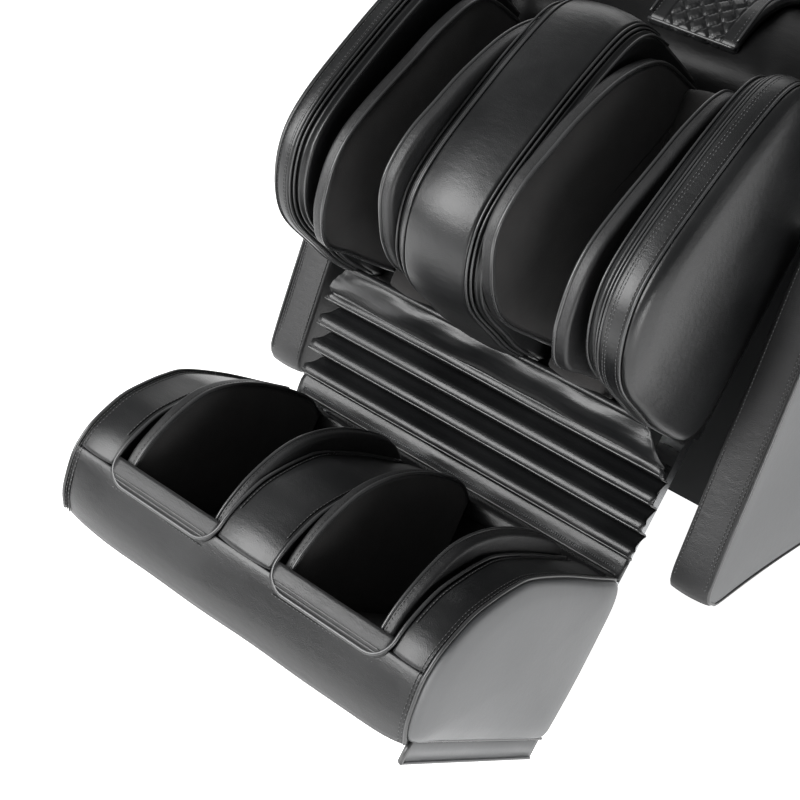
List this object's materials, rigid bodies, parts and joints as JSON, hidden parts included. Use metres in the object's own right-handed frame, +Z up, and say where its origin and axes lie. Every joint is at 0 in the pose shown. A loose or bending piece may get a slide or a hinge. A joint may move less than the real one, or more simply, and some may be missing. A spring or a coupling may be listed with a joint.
{
  "type": "massage chair",
  "caption": "Reclining full-body massage chair with raising leg rest, sliding foot massager and back roller carriage.",
  "frame": {"origin": "on the floor under the middle of the chair's bounding box, leg rest half raised and back reclined as shown", "axes": "+Z up, the sitter faces -Y, +X is to the right of someone who stands in front and looks at the chair"},
  "size_m": [0.768, 1.902, 1.1084],
  "materials": {
    "leather": "fine-grained satin synthetic leather",
    "mesh_fabric": "matte knitted mesh",
    "shell": "satin moulded panel",
    "bare_steel": "drawn tube",
    "frame_paint": "black powder coat",
    "plastic": "fine texture",
    "rubber": "matte",
    "key_plastic": "satin silver"
  },
  "bodies": {
    "base": {"base_frame": "frame_paint", "levelling_foot_front_left": "rubber", "levelling_foot_front_right": "rubber", "levelling_foot_rear_left": "rubber", "levelling_foot_rear_right": "rubber", "power_box": "plastic", "seat_frame": "frame_paint", "seat_cushion": "leather", "seat_centre_pad": "leather", "front_apron": "plastic", "side_cover_left": "shell", "side_cover_right": "shell", "armrest_pad_left": "leather", "armrest_pad_right": "leather", "control_pod": "plastic", "leg_actuator_case": "plastic", "back_actuator_case": "plastic"},
    "wheel_left": {"transport_wheel_left": "rubber"},
    "wheel_right": {"transport_wheel_right": "rubber"},
    "mains_switch": {"mains_switch": "rubber"},
    "leg_actuator_rod": {"leg_actuator_rod": "bare_steel"},
    "back_actuator_rod": {"back_actuator_rod": "bare_steel"},
    "dial": {"control_dial": "key_plastic"},
    "power_key": {"power_key": "key_plastic"},
    "program_key": {"program_key": "key_plastic"},
    "leg": {"calf_housing": "leather", "calf_fin_outer_left": "mesh_fabric", "calf_fin_outer_right": "mesh_fabric", "calf_fin_inner_left": "mesh_fabric", "calf_fin_inner_right": "mesh_fabric", "calf_rest_pad_left": "mesh_fabric", "calf_rest_pad_right": "mesh_fabric", "slide_tube_left": "bare_steel", "slide_tube_right": "bare_steel", "leg_hinge_bar": "bare_steel", "bellows": "leather"},
    "foot": {"foot_housing": "leather", "foot_sole_pad_left": "mesh_fabric", "foot_sole_pad_right": "mesh_fabric", "foot_air_cell_left": "mesh_fabric", "foot_air_cell_right": "mesh_fabric", "slide_rod_left": "bare_steel", "slide_rod_right": "bare_steel"},
    "sole_rollers": {"sole_roller_left": "plastic", "sole_roller_right": "plastic"},
    "back": {"back_frame": "frame_paint", "back_shell": "shell", "roller_rail_left": "bare_steel", "roller_rail_right": "bare_steel", "back_bolster_left": "leather", "back_bolster_right": "leather", "back_wing_left": "leather", "back_wing_right": "leather", "back_pad": "leather"},
    "head_pillow": {"head_pillow": "leather"},
    "roller_carriage": {"roller_carriage": "plastic"},
    "massage_roller_upper_left": {"massage_roller_upper_left": "rubber"},
    "massage_roller_upper_right": {"massage_roller_upper_right": "rubber"},
    "massage_roller_lower_left": {"massage_roller_lower_left": "rubber"},
    "massage_roller_lower_right": {"massage_roller_lower_right": "rubber"}
  },
  "joints": [
    {"name": "legrest_raise", "type": "hinge", "parent": "base", "child": "leg", "pos_m": [0, -0.22574, 0.5569], "axis": [-1, 0, 0], "range_deg": [-2, 45]},
    {"name": "footrest_extend", "type": "slide", "parent": "leg", "child": "foot", "axis": [0, -0.6717, -0.7408], "range_m": [-0.15, 0], "deforming": ["bellows"]},
    {"name": "sole_rollers_spin", "type": "hinge", "parent": "foot", "child": "sole_rollers", "pos_m": [0, -0.82194, 0.19712], "axis": [1, 0, 0], "continuous": true},
    {"name": "back_recline", "type": "hinge", "parent": "base", "child": "back", "pos_m": [0, 0.32959, 0.39], "axis": [-1, 0, 0], "range_deg": [-15, 30]},
    {"name": "head_pillow_flip", "type": "hinge", "parent": "back", "child": "head_pillow", "pos_m": [0, 0.74273, 1.09549], "axis": [-1, 0, 0], "range_deg": [0, 170]},
    {"name": "roller_carriage_travel", "type": "slide", "parent": "back", "child": "roller_carriage", "axis": [0, 0.6428, 0.766], "range_m": [-0.24, 0.28]},
    {"name": "massage_roller_upper_left_spin", "type": "hinge", "parent": "roller_carriage", "child": "massage_roller_upper_left", "pos_m": [-0.061, 0.55721, 0.75772], "axis": [1, 0, 0], "continuous": true},
    {"name": "massage_roller_upper_right_spin", "type": "hinge", "parent": "roller_carriage", "child": "massage_roller_upper_right", "pos_m": [0.061, 0.55721, 0.75772], "axis": [1, 0, 0], "continuous": true},
    {"name": "massage_roller_lower_left_spin", "type": "hinge", "parent": "roller_carriage", "child": "massage_roller_lower_left", "pos_m": [-0.061, 0.4955, 0.68418], "axis": [1, 0, 0], "continuous": true},
    {"name": "massage_roller_lower_right_spin", "type": "hinge", "parent": "roller_carriage", "child": "massage_roller_lower_right", "pos_m": [0.061, 0.4955, 0.68418], "axis": [1, 0, 0], "continuous": true},
    {"name": "leg_actuator_stroke", "type": "slide", "parent": "base", "child": "leg_actuator_rod", "axis": [0, -1, 0], "range_m": [-0.008, 0.128]},
    {"name": "back_actuator_stroke", "type": "slide", "parent": "base", "child": "back_actuator_rod", "axis": [0, -1, 0], "range_m": [-0.032, 0.063]},
    {"name": "wheel_left_spin", "type": "hinge", "parent": "base", "child": "wheel_left", "pos_m": [-0.19, 0.47159, 0.03], "axis": [1, 0, 0], "continuous": true},
    {"name": "wheel_right_spin", "type": "hinge", "parent": "base", "child": "wheel_right", "pos_m": [0.19, 0.47159, 0.03], "axis": [1, 0, 0], "continuous": true},
    {"name": "mains_switch_rock", "type": "hinge", "parent": "base", "child": "mains_switch", "pos_m": [0.06, 0.44359, 0.118], "axis": [1, 0, 0], "range_deg": [0, 16]},
    {"name": "dial_turn", "type": "hinge", "parent": "base", "child": "dial", "pos_m": [0.333, -0.17441, 0.776], "axis": [0, 0, 1], "continuous": true},
    {"name": "power_key_press", "type": "slide", "parent": "base", "child": "power_key", "axis": [0, 0, -1], "range_m": [0, 0.002], "stiffness_N_per_m": 300, "springref_m": -0.002},
    {"name": "program_key_press", "type": "slide", "parent": "base", "child": "program_key", "axis": [0, 0, -1], "range_m": [0, 0.002], "stiffness_N_per_m": 300, "springref_m": -0.002}
  ],
  "couplings": [
    {"joint": "leg_actuator_stroke", "follows": "legrest_raise", "m_per_rad": 0.16},
    {"joint": "back_actuator_stroke", "follows": "back_recline", "m_per_rad": 0.117}
  ]
}
